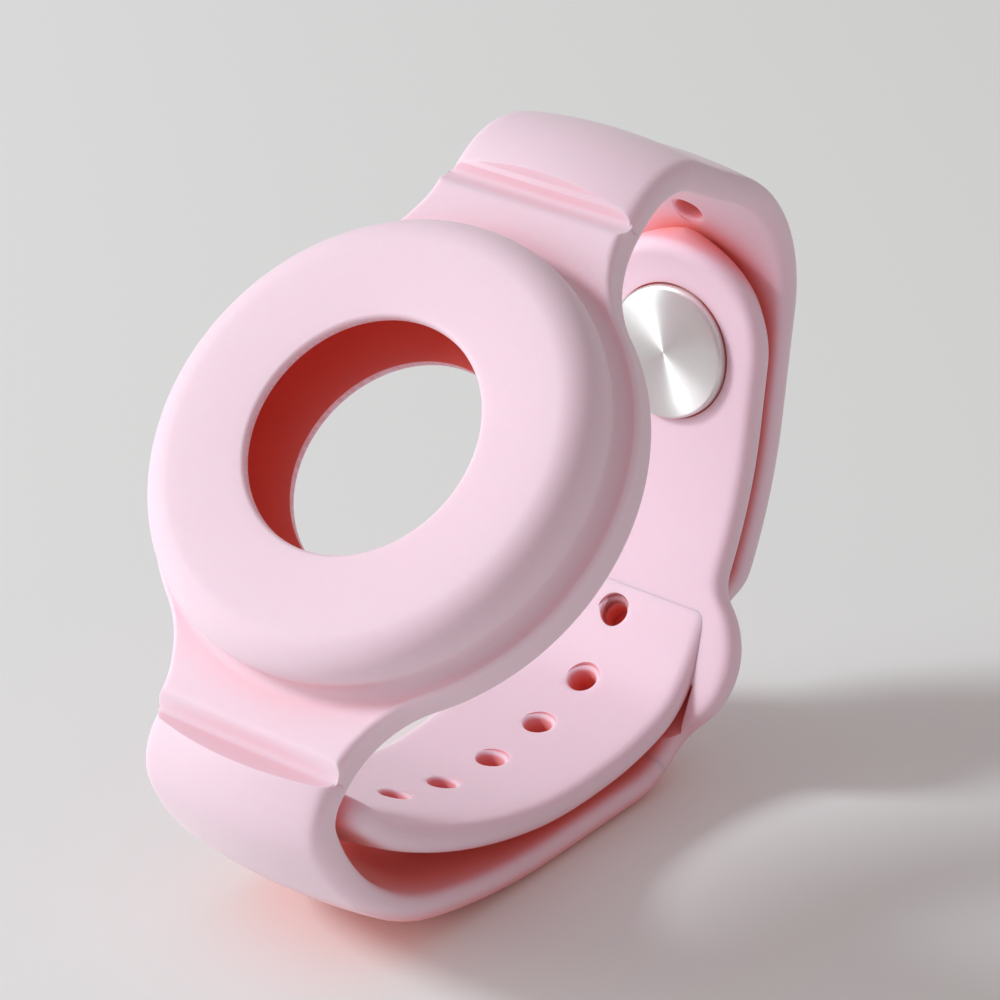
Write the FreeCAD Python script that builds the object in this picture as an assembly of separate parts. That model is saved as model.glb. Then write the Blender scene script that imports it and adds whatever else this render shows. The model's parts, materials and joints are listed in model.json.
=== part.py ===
import FreeCAD, Part
import math
import os

from FreeCAD import Vector

# Soft silicone wristband that holds a coin-sized tracker tag behind a round window.
# All sizes are millimetres, all turns degrees.
# The band is drawn in the loop plane first: X across the band, Y from the lower lug to the upper lug,
# Z out of the wrist face through the window, with the origin at the middle of the wrist face.
# It is then tilted onto the stretch of strap that it stands on.

# Tag that the pocket is cut for, and the play around it
tag_diameter = 31.9
tag_rim_height = 6.7
tag_clearance = 0.1
pocket_rounding = 1.2

# Holder: two lips, a rounded dome over the pocket and a flat plate with a lug at each end
back_lip = 1.0
front_lip = 1.0
lip_rounding = 0.4
window_diameter = 20.0
back_opening_diameter = 19.6
dome_wall = 3.4
dome_bulge = 3.0
dome_foot_fillet = 0.7
plate_thickness = 3.4
plate_ledge = 1.35
plate_top_rounding = 0.8
plate_bottom_rounding = 0.9
lug_flare = 10.0
lug_run = 0.36

# V-groove where a strap starts: one wall on the lug, one wall on the strap
groove_lug_run = 1.2
groove_strap_run = 2.2

# Strap section: flat towards the wrist, crowned outside
strap_width = 18.0
strap_edge = 2.2
strap_crown = 0.8
strap_rounding = 0.6
layer_gap = 0.3

# Pin strap, from the lower lug round the bottom of the loop
pin_lead = 0.5
pin_shoulder_radius = 2.3
pin_shoulder_turn_deg = 67.2
belly_radius = 19.4
belly_turn_deg = 54.3
sole_radius = 58.0
sole_turn_deg = 15.0
sole_run = 11.5
pin_bend_radius = 6.0
rest_flat_depth = 0.35

# Hole strap, from the upper lug over the back of the loop
hole_lead = 0.8
hole_shoulder_radius = 6.0
hole_shoulder_turn_deg = 68.7
corner_radius = 11.8
corner_turn_deg = 70.3
stud_run = 10.0
closing_radius = 37.5
closing_turn_deg = 17.5

# Tail of the hole strap, inside the loop
tail_bend_radius = 19.4
tail_gap = 0.8
tail_sweep_radius = 54.0
tail_sweep_turn_deg = 46.0
tail_tip_gap = 1.8
tail_corner_radius = 2.5
tail_flex_length = 14.0

# Keeper: the pin strap widens round the slot that the hole strap is tucked through
keeper_bulge = 3.4
keeper_radius = 7.4
keeper_fillet = 3.7
keeper_offset = 1.4
slot_gap = 0.35
slot_side_gap = 0.25

# Row of adjusting holes, each dished on the wrist side
hole_diameter = 2.4
hole_pitch = 6.43
hole_dish_diameter = 3.6
hole_dish_depth = 0.4
holes_above_stud = 2
holes_below_stud = 10

# Metal stud: a disc with a post through the flap, and a head pressed on the post
stud_setback = 5.0
stud_disc_diameter = 11.6
stud_disc_height = 1.2
stud_disc_sink = 0.4
stud_disc_rounding = 0.35
stud_disc_side_gap = 0.15
stud_post_diameter = 2.8
stud_post_clearance = 0.05
stud_head_diameter = 3.8
stud_head_height = 1.4
stud_head_rounding = 0.6
stud_head_socket = 0.7
stud_hole_clearance = 0.3
flap_tip_length = 11.5

# How far a cut runs past the face that it opens
overrun = 2.0
# Largest part of a wall that a rounding may take
rounding_share = 0.4

# Sizes that follow from the ones above
half_width = strap_width / 2
strap_thickness = strap_edge + strap_crown
layer_step = strap_thickness + layer_gap
tail_step = strap_thickness + tail_gap
pocket_radius = tag_diameter / 2 + tag_clearance
pocket_ceiling = back_lip + tag_rim_height + 2 * tag_clearance
holder_height = pocket_ceiling + front_lip
dome_radius = pocket_radius + dome_wall
plate_radius = dome_radius + plate_ledge
flare_y = math.sqrt((plate_radius + lug_flare) ** 2 - (half_width + lug_flare) ** 2)
lug_reach = flare_y + lug_run
keeper_reach = math.sqrt(keeper_bulge * (2 * (keeper_radius + keeper_fillet) - keeper_bulge))
across = Vector(1, 0, 0)
up = Vector(0, 0, 1)


def along(heading):
    """Unit vector of a heading in the loop plane, counted from +Y towards +Z."""
    angle = math.radians(heading)
    return Vector(0, math.cos(angle), math.sin(angle))


def left_of(heading):
    """Unit vector to the left of a heading in the loop plane."""
    return along(heading + 90)


def arc(first, middle, last):
    return Part.Arc(first, middle, last).toShape()


def line(first, last):
    return Part.LineSegment(first, last).toShape()


def quarter(centre, first, last):
    """Quarter circle about a centre, bulging away from it."""
    radius = first.distanceToPoint(centre)
    middle = centre + ((first - centre) + (last - centre)).normalize() * radius
    return arc(first, middle, last)


class Path:
    """Wrist face line of a strap: straight runs and tangent bends, a positive turn being to the left."""

    def __init__(self, start, heading):
        self.end = start
        self.heading = heading
        self.length = 0.0
        self.stretches = []

    def run(self, length):
        self.stretches.append((self.length, length, self.end, self.heading, None, 0.0))
        self.end = self.end + along(self.heading) * length
        self.length += length
        return self

    def bend(self, radius, turn):
        length = radius * math.radians(abs(turn))
        centre = self.end + left_of(self.heading) * math.copysign(radius, turn)
        self.stretches.append((self.length, length, self.end, self.heading, centre, turn))
        self.end = centre - left_of(self.heading + turn) * math.copysign(radius, turn)
        self.heading += turn
        self.length += length
        return self

    def frame(self, distance):
        """Point and heading at a distance from the lug."""
        for start, length, point, heading, centre, turn in self.stretches:
            inside = distance - start
            if inside <= length or (start, length) == self.stretches[-1][:2]:
                break
        if centre is None:
            return point + along(heading) * inside, heading
        turned = heading + turn * inside / length
        radius = point.distanceToPoint(centre)
        return centre - left_of(turned) * math.copysign(radius, turn), turned

    def solid(self, outline, outside, first, last):
        """Section swept from one distance to another; outside is +1 where the outer face lies to the left."""
        pieces = []
        for start, length, point, heading, centre, turn in self.stretches:
            begin = max(first, start)
            finish = min(last, start + length)
            if finish <= begin:
                continue
            place, facing = self.frame(begin)
            face = section_face(outline, place, left_of(facing) * outside)
            if centre is None:
                pieces.append(face.extrude(along(heading) * (finish - begin)))
            else:
                pieces.append(face.revolve(centre, across, turn * (finish - begin) / length))
        whole = pieces[0].multiFuse(pieces[1:]) if len(pieces) > 1 else pieces[0]
        return whole.removeSplitter()


def strap_outline(width, edge, crown, rounding):
    """Strap section as points across the band and outwards: lines, rounded corners and a crowned outside."""
    radius = min(rounding, edge * rounding_share)
    side = width / 2
    flat = side - radius
    return [
        ("line", (-flat, 0), (flat, 0)),
        ("round", (flat, radius), (flat, 0), (side, radius)),
        ("line", (side, radius), (side, edge - radius)),
        ("round", (flat, edge - radius), (side, edge - radius), (flat, edge)),
        ("crown", (0, edge + crown), (flat, edge), (-flat, edge)),
        ("round", (-flat, edge - radius), (-flat, edge), (-side, edge - radius)),
        ("line", (-side, edge - radius), (-side, radius)),
        ("round", (-flat, radius), (-side, radius), (-flat, 0)),
    ]


def box_outline(width, inside, outside):
    """Plain section that reaches a given distance inside and outside the wrist face line."""
    side = width / 2
    corners = [(-side, -inside), (side, -inside), (side, outside), (-side, outside)]
    return [("line", corners[i - 1], corners[i]) for i in range(len(corners))]


def section_face(outline, place, outward):
    def at(pair):
        return place + across * pair[0] + outward * pair[1]

    edges = []
    for kind, *points in outline:
        spots = [at(pair) for pair in points]
        if kind == "line":
            edges.append(line(*spots))
        elif kind == "round":
            edges.append(quarter(*spots))
        else:
            edges.append(arc(spots[1], spots[0], spots[2]))
    return Part.Face(Part.Wire(Part.__sortEdges__(edges)))


def meeting(point_a, heading_a, point_b, heading_b):
    """Distance along the first straight line to the point where a second one crosses it."""
    gap = point_b - point_a
    a, b = along(heading_a), along(heading_b)
    return (gap.y * b.z - gap.z * b.y) / (a.y * b.z - a.z * b.y)


def pin_start():
    """Pin strap from the lower lug to the end of the sole that the band stands on."""
    pin = Path(Vector(0, -lug_reach, 0), 180.0)
    pin.run(pin_lead).bend(pin_shoulder_radius, pin_shoulder_turn_deg)
    return pin.bend(belly_radius, belly_turn_deg).bend(sole_radius, sole_turn_deg)


def hole_start(back_run):
    """Hole strap from the upper lug to the closing bend, and the distance to its stud run."""
    hole = Path(Vector(0, lug_reach, 0), 0.0)
    hole.run(hole_lead).bend(hole_shoulder_radius, -hole_shoulder_turn_deg).run(back_run)
    hole.bend(corner_radius, -corner_turn_deg)
    stud_run_start = hole.length
    return hole.run(stud_run).bend(closing_radius, -closing_turn_deg), stud_run_start


def lanes(pin, hole):
    """Turn between the straps, and the points that the tail and the flap run through inside the other strap."""
    turn = hole.heading + 180.0 - (pin.heading - 360.0)
    tail_lane = pin.end + left_of(pin.heading) * tail_step
    flap_lane = hole.end - left_of(hole.heading) * layer_step
    return turn, tail_lane, flap_lane


def strap_paths():
    """Wrist face lines of both straps: they cross at the keeper and change places there."""
    pin = pin_start()

    # The back run is as long as closes the loop with the sole's straight run at its named length.
    sole_runs = []
    for trial in (0.0, corner_radius):
        hole = hole_start(trial)[0]
        turn, tail_lane, flap_lane = lanes(pin, hole)
        half_turn = math.tan(math.radians(turn / 2))
        corner = meeting(pin.end, pin.heading, flap_lane, hole.heading)
        sole_runs.append(corner - pin_bend_radius * half_turn)
    back_run = corner_radius * (sole_run - sole_runs[0]) / (sole_runs[1] - sole_runs[0])
    hole, stud_run_start = hole_start(back_run)
    turn, tail_lane, flap_lane = lanes(pin, hole)
    marks = {"stud_run": stud_run_start, "sole_end": pin.length}

    corner = meeting(hole.end, hole.heading, tail_lane, pin.heading)
    hole.run(corner - tail_bend_radius * math.tan(math.radians(turn / 2)))
    marks["tail_bend"] = hole.length
    hole.bend(tail_bend_radius, -turn)
    marks["tail_sweep"] = hole.length
    hole.bend(tail_sweep_radius, -tail_sweep_turn_deg)
    hole.run((-tail_tip_gap - hole.end.z) / along(hole.heading).z)
    marks["tail_tip"] = hole.length - tail_flex_length

    pin.run(sole_run)
    marks["pin_bend"] = pin.length
    pin.bend(pin_bend_radius, turn)
    marks["flap_run"] = pin.length
    pin.run((flap_lane - pin.end).dot(along(pin.heading)))
    pin.bend(closing_radius - layer_step, closing_turn_deg)
    pin.run(stud_run)
    tip_turn = math.degrees((flap_tip_length - stud_setback) / (corner_radius - layer_step))
    pin.bend(corner_radius - layer_step, tip_turn)
    return pin, hole, marks


def crossing(pin, hole, marks):
    """Distances along both straps to the point where their lines cross."""
    steps = 240
    margin = keeper_reach
    pin_start = marks["pin_bend"] - margin
    pin_step = (marks["flap_run"] + margin - pin_start) / steps
    hole_start = marks["tail_bend"] - margin
    hole_step = (marks["tail_sweep"] + margin - hole_start) / steps
    hole_points = [hole.frame(hole_start + k * hole_step)[0] for k in range(steps)]
    best = None
    for i in range(steps):
        spot = pin.frame(pin_start + i * pin_step)[0]
        gaps = [spot.distanceToPoint(point) for point in hole_points]
        if best is None or min(gaps) < best[0]:
            best = (min(gaps), pin_start + i * pin_step, hole_start + gaps.index(min(gaps)) * hole_step)
    return best[1], best[2]


def wedge(points):
    """Prism across the whole band with the given outline in the loop plane."""
    reach = half_width + lug_flare
    spots = [Vector(-reach, y, z) for y, z in points]
    face = Part.Face(Part.makePolygon(spots + spots[:1]))
    return face.extrude(across * (2 * reach))


def groove_wall(end, run, height):
    """Cutter for one wall of a V-groove at a lug's end, rising by a height over a run away from the crease."""
    side = math.copysign(1, run)
    top = strap_edge + height
    return wedge([(end, strap_edge), (end + run, top), (end + run, top + overrun),
                  (end - side * overrun, top + overrun), (end - side * overrun, strap_edge)])


def plate():
    """Flat plate with a lug at each end, its waist flaring into a round flange."""
    centre_x = half_width + lug_flare
    touch = plate_radius / (plate_radius + lug_flare)
    slope = math.atan2(flare_y, centre_x) / 2
    edges = []
    for sx, sy in ((1, 1), (1, -1), (-1, -1), (-1, 1)):
        corner = Vector(sx * half_width, sy * lug_reach, 0)
        start = Vector(sx * half_width, sy * flare_y, 0)
        end = Vector(sx * centre_x * touch, sy * flare_y * touch, 0)
        middle = Vector(sx * (centre_x - lug_flare * math.cos(slope)),
                        sy * (flare_y - lug_flare * math.sin(slope)), 0)
        edges += [line(corner, start), arc(start, middle, end)]
    for side in (1, -1):
        end = Vector(side * centre_x * touch, flare_y * touch, 0)
        edges.append(arc(end, Vector(side * plate_radius, 0, 0), Vector(end.x, -end.y, 0)))
        edges.append(line(Vector(-half_width, side * lug_reach, 0), Vector(half_width, side * lug_reach, 0)))
    slab = Part.Face(Part.Wire(Part.__sortEdges__(edges))).extrude(up * plate_thickness)
    for height, rounding in ((0, plate_bottom_rounding), (plate_thickness, plate_top_rounding)):
        rims = [edge for edge in slab.Edges
                if all(abs(v.Point.z - height) < strap_rounding * rounding_share for v in edge.Vertexes)
                and not all(abs(abs(v.Point.y) - lug_reach) < lug_run * rounding_share for v in edge.Vertexes)]
        slab = slab.makeFillet(min(rounding, plate_thickness * rounding_share), rims)
    return slab


def dome():
    """Rounded ring over the pocket: flat top, bulging side and a small fillet at its foot."""
    centre_r = dome_radius - dome_bulge
    centre_z = holder_height - dome_bulge
    rise = centre_z - plate_thickness - dome_foot_fillet
    reach = dome_bulge + dome_foot_fillet
    spread = math.sqrt(reach ** 2 - rise ** 2)
    foot = Vector(centre_r + spread, 0, plate_thickness + dome_foot_fillet)
    bulge = Vector(centre_r, 0, centre_z)
    joint = bulge + (foot - bulge) * (dome_bulge / reach)
    base = foot - up * dome_foot_fillet
    lean = (joint - foot) + (base - foot)
    edges = [
        line(Vector(0, 0, back_lip), Vector(base.x, 0, back_lip)),
        line(Vector(base.x, 0, back_lip), base),
        arc(base, foot + lean.normalize() * dome_foot_fillet, joint),
        arc(joint, bulge + Vector(dome_bulge, 0, 0), bulge + up * dome_bulge),
        line(bulge + up * dome_bulge, Vector(0, 0, holder_height)),
        line(Vector(0, 0, holder_height), Vector(0, 0, back_lip)),
    ]
    return Part.Face(Part.Wire(edges)).revolve(Vector(0, 0, 0), up, 360)


def pocket():
    """Room for the tag, open at the window and at the back, with rounded lips."""
    window = window_diameter / 2
    back = back_opening_diameter / 2
    rounding = min(pocket_rounding, (pocket_ceiling - back_lip) * rounding_share)
    inner = pocket_radius - rounding

    def spot(r, z):
        return Vector(r, 0, z)

    edges = [
        line(spot(0, -overrun), spot(back + lip_rounding, -overrun)),
        line(spot(back + lip_rounding, -overrun), spot(back + lip_rounding, 0)),
        quarter(spot(back + lip_rounding, lip_rounding), spot(back + lip_rounding, 0), spot(back, lip_rounding)),
        line(spot(back, lip_rounding), spot(back, back_lip)),
        line(spot(back, back_lip), spot(inner, back_lip)),
        quarter(spot(inner, back_lip + rounding), spot(inner, back_lip), spot(pocket_radius, back_lip + rounding)),
        line(spot(pocket_radius, back_lip + rounding), spot(pocket_radius, pocket_ceiling - rounding)),
        quarter(spot(inner, pocket_ceiling - rounding), spot(pocket_radius, pocket_ceiling - rounding),
                spot(inner, pocket_ceiling)),
        line(spot(inner, pocket_ceiling), spot(window, pocket_ceiling)),
        line(spot(window, pocket_ceiling), spot(window, holder_height - lip_rounding)),
        quarter(spot(window + lip_rounding, holder_height - lip_rounding),
                spot(window, holder_height - lip_rounding), spot(window + lip_rounding, holder_height)),
        line(spot(window + lip_rounding, holder_height), spot(window + lip_rounding, holder_height + overrun)),
        line(spot(window + lip_rounding, holder_height + overrun), spot(0, holder_height + overrun)),
        line(spot(0, holder_height + overrun), spot(0, -overrun)),
    ]
    return Part.Face(Part.Wire(edges)).revolve(Vector(0, 0, 0), up, 360)


def holder():
    """The holder in three layers: the base with the back lip, the pocket's wall and the front lip."""
    shape = plate().fuse(dome()).removeSplitter().cut(pocket())
    for end in (lug_reach, -lug_reach):
        shape = shape.cut(groove_wall(end, -math.copysign(groove_lug_run, end), plate_thickness - strap_edge))
    levels = (-overrun, back_lip, pocket_ceiling, holder_height + overrun)
    reach = lug_reach + overrun
    layers = []
    for low, high in zip(levels, levels[1:]):
        slab = Part.makeBox(2 * reach, 2 * reach, high - low, Vector(-reach, -reach, low))
        layers.append(shape.common(slab))
    return layers


def rounded_tip(strap, path, outside, radius):
    """Strap with the two corners of its free end rounded off, seen square to its face."""
    centre, heading = path.frame(path.length - radius)
    outward = left_of(heading) * outside
    depth = 2 * path.length
    base = centre - outward * (depth / 2)
    for side in (1, -1):
        corner = base + across * (side * (half_width - radius))
        spots = [corner, corner + across * (side * (radius + overrun))]
        spots += [spots[1] + along(heading) * (radius + overrun), corner + along(heading) * (radius + overrun)]
        block = Part.Face(Part.makePolygon(spots + spots[:1])).extrude(outward * depth)
        strap = strap.cut(block.cut(Part.makeCylinder(radius, depth, corner, outward)))
    return strap


def bulge(centre, heading):
    """Prism that gives the keeper its plan: the strap's sides swell out and come back in smooth curves."""
    depth = 2 * (strap_width + keeper_reach)
    outward = left_of(heading) * -1
    forward = along(heading)
    base = centre - outward * (depth / 2)
    turn = math.asin(keeper_reach / (keeper_radius + keeper_fillet))
    swell = half_width + keeper_bulge
    far = keeper_reach + overrun

    def spot(distance, aside):
        return base + forward * distance + across * aside

    def flank(side):
        crest = swell - keeper_radius
        hollow = half_width + keeper_fillet
        bend = (keeper_radius * math.sin(turn), crest + keeper_radius * math.cos(turn))
        shallow = (keeper_reach - keeper_fillet * math.sin(turn / 2), hollow - keeper_fillet * math.cos(turn / 2))
        edges = [arc(spot(-bend[0], side * bend[1]), spot(0, side * swell), spot(bend[0], side * bend[1]))]
        for end in (1, -1):
            edges.append(arc(spot(end * bend[0], side * bend[1]), spot(end * shallow[0], side * shallow[1]),
                             spot(end * keeper_reach, side * half_width)))
            edges.append(line(spot(end * keeper_reach, side * half_width), spot(end * far, side * half_width)))
        return edges

    ends = [line(spot(end * far, -half_width), spot(end * far, half_width)) for end in (1, -1)]
    plan = Part.Face(Part.Wire(Part.__sortEdges__(flank(1) + flank(-1) + ends)))
    return plan.extrude(outward * depth)


def dished_hole(path, distance, outside):
    """Round hole through a strap with a shallow dish round its mouth on the wrist side."""
    place, heading = path.frame(distance)
    outward = left_of(heading) * outside
    bore = Part.makeCylinder(hole_diameter / 2, strap_thickness + 2 * overrun, place - outward * overrun, outward)
    dish = Part.makeCone(hole_dish_diameter / 2, hole_diameter / 2, hole_dish_depth, place, outward)
    return bore.fuse(dish)


def stud_opening(place, heading, outward, stretch):
    """Hole that the stud is pushed through, stretched towards the lug as far as the stud's head swings."""
    radius = stud_head_diameter / 2 + stud_hole_clearance
    reach = strap_thickness + 2 * overrun
    start = place - outward * overrun
    swing = along(heading) * -stretch
    ends = [Part.makeCylinder(radius, reach, start + swing * share, outward) for share in (0, 1)]
    sides = [start + swing * a + across * (radius * b) for a, b in ((0, 1), (0, -1), (1, -1), (1, 1))]
    middle = Part.Face(Part.makePolygon(sides + sides[:1])).extrude(outward * reach)
    return ends[0].multiFuse([ends[1], middle])


def head_swing(hinge, seat, outward, heading):
    """How far the stud's head moves along the strap while the flap is pulled off it."""
    arm = (seat - hinge).dot(along(heading) * -1)
    inner_face = (seat - hinge).dot(outward) + strap_thickness - stud_disc_sink + layer_gap
    top = inner_face + strap_thickness + stud_head_height
    angle = math.asin((top - inner_face) / arm)
    return top * math.sin(angle) - arm * (1 - math.cos(angle))


def turned(points, place, axis_heading):
    """Solid of revolution about the stud's axis; points are radius and height along the axis."""
    edges = []
    for first, last in zip(points, points[1:] + points[:1]):
        edges.append(line(Vector(first[0], 0, first[1]), Vector(last[0], 0, last[1])))
    body = Part.Face(Part.Wire(edges)).revolve(Vector(0, 0, 0), up, 360)
    body.rotate(Vector(0, 0, 0), across, axis_heading - 90)
    body.translate(place)
    return body


def stud(seat, axis_heading):
    """Disc and post in one piece, and the head that closes the post; heights are above the disc's seat."""
    disc = stud_disc_diameter / 2
    post = stud_post_diameter / 2
    head = stud_head_diameter / 2
    neck = strap_thickness - stud_disc_sink + layer_gap + strap_thickness
    face = stud_disc_height
    bevel = min(stud_disc_rounding, stud_disc_height * rounding_share)
    body = turned([(0, -face), (disc - bevel, -face), (disc, bevel - face), (disc, 0), (post, 0),
                   (post, neck + stud_head_socket), (0, neck + stud_head_socket)], seat, axis_heading)
    crown = min(stud_head_rounding, (stud_head_height - stud_head_socket))
    cap = turned([(post, neck), (head, neck), (head, neck + stud_head_height - crown),
                  (head - crown, neck + stud_head_height), (0, neck + stud_head_height),
                  (0, neck + stud_head_socket), (post, neck + stud_head_socket)], seat, axis_heading)
    return body, cap


def band():
    """Every piece of the band in the loop plane, by name, and the line that it stands on."""
    pin, hole, marks = strap_paths()
    on_pin, on_hole = crossing(pin, hole, marks)
    outline = strap_outline(strap_width, strap_edge, strap_crown, strap_rounding)
    slot = box_outline(strap_width + 2 * slot_side_gap, slot_gap, strap_thickness + slot_gap)
    slot_cut = hole.solid(slot, 1, marks["stud_run"], marks["tail_tip"])

    # The hole strap carries the row of holes, one of them on the stud.
    stud_at = marks["stud_run"] + stud_setback
    places = [stud_at + k * hole_pitch for k in range(-holes_above_stud, holes_below_stud) if k != 0]
    holes = [dished_hole(hole, place, 1) for place in places]
    stud_place, stud_heading = hole.frame(stud_at)
    stud_outward = left_of(stud_heading)
    hole_strap = hole.solid(outline, 1, 0, on_hole)
    hole_strap = hole_strap.cut(groove_wall(lug_reach, groove_strap_run, strap_crown))
    seat = stud_place - stud_outward * (layer_step - stud_disc_sink)
    keeper_middle = on_pin + keeper_offset
    keeper_end = keeper_middle + keeper_reach
    swing = head_swing(pin.frame(keeper_end)[0], seat, stud_outward, stud_heading)
    hole_strap = hole_strap.cut(holes + [stud_opening(stud_place, stud_heading, stud_outward, swing)])
    strap_tail = hole.solid(outline, 1, on_hole, marks["tail_tip"]).cut(holes)
    tail_tip = rounded_tip(hole.solid(outline, 1, marks["tail_tip"], hole.length), hole, 1, tail_corner_radius)
    tail_tip = tail_tip.cut(holes)

    # The keeper is a round bulge of the pin strap with the slot through it; it starts in the pin strap's bend.
    in_bend = keeper_reach - (keeper_middle - marks["flap_run"])
    keeper_start = marks["flap_run"] - pin_bend_radius * math.asin(in_bend / pin_bend_radius)
    keeper_outline = strap_outline(strap_width + 2 * keeper_bulge, strap_edge, strap_crown, strap_rounding)
    keeper = pin.solid(keeper_outline, -1, keeper_start, keeper_end)
    keeper = keeper.common(bulge(*pin.frame(keeper_middle))).cut(slot_cut)

    # Standing flat: the crown is levelled where the strap meets the table.
    pin_strap = pin.solid(outline, -1, 0, keeper_start)
    pin_strap = pin_strap.cut(groove_wall(-lug_reach, -groove_strap_run, strap_crown))
    stand_place, stand_heading = pin.frame(marks["sole_end"])
    floor = stand_place - left_of(stand_heading) * (strap_thickness - rest_flat_depth)
    below = Part.makeBox(2 * strap_width, 4 * pin.length, strap_thickness + overrun)
    below.translate(Vector(-strap_width, -2 * pin.length, -(strap_thickness + overrun)))
    below.rotate(Vector(0, 0, 0), across, stand_heading - 360)
    below.translate(floor)
    pin_strap = pin_strap.cut(below)
    keeper = keeper.cut(below)

    # The flap carries the stud in a flat seat on its wrist side.
    recess = Part.makeCylinder(stud_disc_diameter / 2 + stud_disc_side_gap, stud_disc_sink + overrun,
                               seat, stud_outward * -1)
    bore = Part.makeCylinder(stud_post_diameter / 2 + stud_post_clearance, strap_thickness + 2 * overrun,
                             seat - stud_outward * overrun, stud_outward)
    pin_flap = rounded_tip(pin.solid(outline, -1, keeper_end, pin.length), pin, -1, half_width)
    pin_flap = pin_flap.cut([recess, bore])
    stud_disc, stud_head = stud(seat, stud_heading + 90)

    holder_base, pocket_wall, front_lip = holder()
    pieces = {
        "holder_base": holder_base,
        "pocket_wall": pocket_wall,
        "front_lip": front_lip,
        "pin_strap": pin_strap,
        "keeper": keeper,
        "pin_flap": pin_flap,
        "hole_strap": hole_strap,
        "strap_tail": strap_tail,
        "tail_tip": tail_tip,
        "stud_disc": stud_disc,
        "stud_head": stud_head,
    }
    points = {
        "floor": floor,
        "flap_hinge": pin.frame(keeper_end)[0],
        "tail_hinge": hole.frame(marks["tail_tip"])[0],
        "stud": seat,
        "stud_axis": stud_outward,
    }
    return pieces, points, 360 - stand_heading


def stand(pieces, floor, tilt):
    """Tilt the band onto the strap that it stands on and centre it on the table."""
    box = FreeCAD.BoundBox()
    for shape in pieces.values():
        shape.rotate(Vector(0, 0, 0), across, tilt)
        box.add(shape.optimalBoundingBox(False, False))
    level = FreeCAD.Rotation(across, tilt).multVec(floor)
    shift = Vector(0, -box.Center.y, -level.z)
    for shape in pieces.values():
        shape.translate(shift)
    return shift


pieces, points, rest_tilt = band()
rest_shift = stand(pieces, points["floor"], rest_tilt)
os.makedirs("parts", exist_ok=True)
for name, shape in pieces.items():
    shape.exportStep("parts/" + name + ".step")
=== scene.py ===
import bpy
import bmesh
import json
import math
import numpy as np
from mathutils import Matrix, Vector

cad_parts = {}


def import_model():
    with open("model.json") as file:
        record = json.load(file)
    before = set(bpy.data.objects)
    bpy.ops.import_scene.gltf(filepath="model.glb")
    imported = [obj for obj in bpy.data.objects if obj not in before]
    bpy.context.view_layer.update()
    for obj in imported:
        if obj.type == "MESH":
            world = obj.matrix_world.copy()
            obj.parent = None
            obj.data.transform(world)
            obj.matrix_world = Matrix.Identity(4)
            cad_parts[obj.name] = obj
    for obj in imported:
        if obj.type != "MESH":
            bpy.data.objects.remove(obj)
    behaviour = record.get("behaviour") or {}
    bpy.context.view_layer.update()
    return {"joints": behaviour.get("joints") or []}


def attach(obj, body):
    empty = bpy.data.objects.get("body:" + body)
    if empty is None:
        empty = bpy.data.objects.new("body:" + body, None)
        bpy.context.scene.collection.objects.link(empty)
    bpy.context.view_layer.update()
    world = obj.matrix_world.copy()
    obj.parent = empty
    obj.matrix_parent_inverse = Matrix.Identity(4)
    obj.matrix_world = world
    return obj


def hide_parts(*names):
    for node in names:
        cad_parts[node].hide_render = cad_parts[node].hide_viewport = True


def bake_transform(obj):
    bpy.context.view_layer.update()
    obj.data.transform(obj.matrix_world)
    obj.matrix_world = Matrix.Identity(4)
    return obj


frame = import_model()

# Sizes of the band in millimetres, in the loop plane: X across, Y from lug to lug, Z out of the window.
HALF_WIDTH = 9.0
EDGE = 2.2
CROWN = 0.8
THICKNESS = EDGE + CROWN
LAYER_STEP = THICKNESS + 0.3

# Holder
WINDOW_RADIUS = 10.0
BACK_RADIUS = 9.8
POCKET_RADIUS = 16.05
POCKET_ROUNDING = 1.2
POCKET_FLOOR = 1.0
POCKET_CEILING = 7.9
HOLDER_TOP = 8.9
DOME_RADIUS = 19.45
DOME_BULGE = 3.0
DOME_FOOT = 1.1
DOME_SLOPE = 0.25
LIP_ROUNDING = 0.42
PLATE_TOP = 3.4
PLATE_RADIUS = 20.8
PLATE_ROUNDING = 0.5
PLATE_UNDER_ROUNDING = 1.1
LUG_FLARE = 10.0
FLARE_Y = math.sqrt((PLATE_RADIUS + LUG_FLARE) ** 2 - (HALF_WIDTH + LUG_FLARE) ** 2)
LUG_Y = FLARE_Y + 0.36
LUG_EASE = 4.0
TONGUE = 1.5
TONGUE_GAP = 0.15

# V-groove between a lug and its strap
CREASE = 2.35
GROOVE_LUG_RUN = 1.5
GROOVE_STRAP_RUN = 1.6
GROOVE_SOFTNESS_SHARE = 0.12
LUG_RISE = 0.45
LUG_CROWN = 0.2
LUG_FADE = 14.0

# Pin strap
PIN_LEAD = 0.5
PIN_SHOULDER = (2.3, 67.2)
BELLY = (19.4, 54.3)
SOLE = (58.0, 15.0)
SOLE_RUN = 11.5
PIN_BEND_RADIUS = 6.0

# Hole strap and its tail
HOLE_LEAD = 0.8
HOLE_SHOULDER = (6.0, 68.7)
CORNER = (11.8, 70.3)
STUD_RUN = 10.0
CLOSING = (37.5, 17.5)
TAIL_BEND_RADIUS = 19.4
TAIL_GAP = 0.8
TAIL_SWEEP = (54.0, 46.0)
TAIL_TIP_GAP = 1.8
TAIL_CORNER = 2.5
TAIL_FLEX = 14.0
TAIL_ROLL_DEG = 3.5
TAIL_DROP = 1.3
TAIL_SETTLE = 16.0
TAIL_TIP_RISE_RUN = 8.0

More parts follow.
